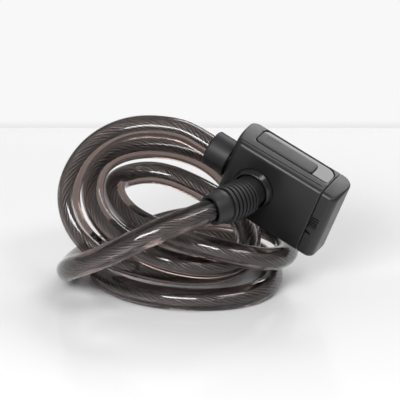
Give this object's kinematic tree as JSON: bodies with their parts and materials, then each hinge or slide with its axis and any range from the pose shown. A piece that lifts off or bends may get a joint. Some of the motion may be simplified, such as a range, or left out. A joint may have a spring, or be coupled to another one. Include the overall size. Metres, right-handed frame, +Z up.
{
  "type": "keyed cable lock",
  "caption": "Keyed cable lock: a coiled steel cable in a smoke-clear jacket, fixed by a ribbed boot to a moulded head and plugged into its other end.",
  "frame": {"origin": "middle of the footprint, on the surface the lock lies on", "axes": "+Z up; X along the lock from the far bend of the coil to the head; -Y towards the front, where the boot leaves the head"},
  "size_m": [0.1512, 0.122, 0.0861],
  "materials": {
    "black_moulded": "matte grained moulding",
    "black_soft": "matte flexible moulding",
    "black_gloss": "polished",
    "dark_trim": "fine matte",
    "smoke_pvc": "clear smoke-tinted, glossy",
    "steel_strand": "drawn wire",
    "zinc_casting": "as cast",
    "bright_steel": "turned and plated",
    "brass": "turned"
  },
  "bodies": {
    "root": {"head_housing": "black_moulded", "collar_ring": "black_moulded", "strain_relief_boot": "black_soft", "socket_seal": "black_soft", "top_insert": "black_gloss", "bezel_plate": "dark_trim", "cable_jacket": "smoke_pvc", "cable_end_jacket": "smoke_pvc", "cable_core": "steel_strand", "cable_end_core": "steel_strand", "lock_body": "zinc_casting", "fixed_crimp_sleeve": "bright_steel", "cross_pin": "bright_steel", "bezel_screws": "bright_steel", "cylinder_shell": "brass"},
    "ferrule": {"ferrule_cover": "black_moulded", "ferrule_crimp_sleeve": "bright_steel", "ferrule_pin": "bright_steel"},
    "key": {"key_plug": "brass", "wafers": "brass", "drive_cam": "bright_steel", "cam_screw": "bright_steel"},
    "latch": {"latch_bolt": "bright_steel"},
    "slide": {"top_slide": "dark_trim", "slide_retainer": "zinc_casting"},
    "cap": {"end_cap": "black_moulded"},
    "tab": {"cap_latch_tab": "dark_trim"}
  },
  "joints": [
    {"name": "plug_pull", "type": "slide", "parent": "root", "child": "ferrule", "axis": [-0.8287, 0.3794, 0.4115], "range_m": [0, 0.018], "deforming": ["cable_end_jacket", "cable_end_core"]},
    {"name": "key_turn", "type": "hinge", "parent": "root", "child": "key", "pos_m": [0.05288, -0.01447, 0.04865], "axis": [0.8287, -0.3794, -0.4115], "range_deg": [0, 90]},
    {"name": "latch_lift", "type": "slide", "parent": "root", "child": "latch", "axis": [0.2962, -0.3266, 0.8976], "range_m": [0, 0.00424]},
    {"name": "slide_travel", "type": "slide", "parent": "root", "child": "slide", "axis": [0.8287, -0.3794, -0.4115], "range_m": [0, 0.008]},
    {"name": "cap_pull", "type": "slide", "parent": "root", "child": "cap", "axis": [0.8287, -0.3794, -0.4115], "range_m": [0, 0.01]},
    {"name": "tab_press", "type": "slide", "parent": "cap", "child": "tab", "axis": [0.4749, 0.8657, 0.1583], "range_m": [0, 0.0008], "stiffness_N_per_m": 800}
  ],
  "couplings": [
    {"joint": "latch_lift", "follows": "key_turn", "m_per_rad": 0.002701}
  ]
}
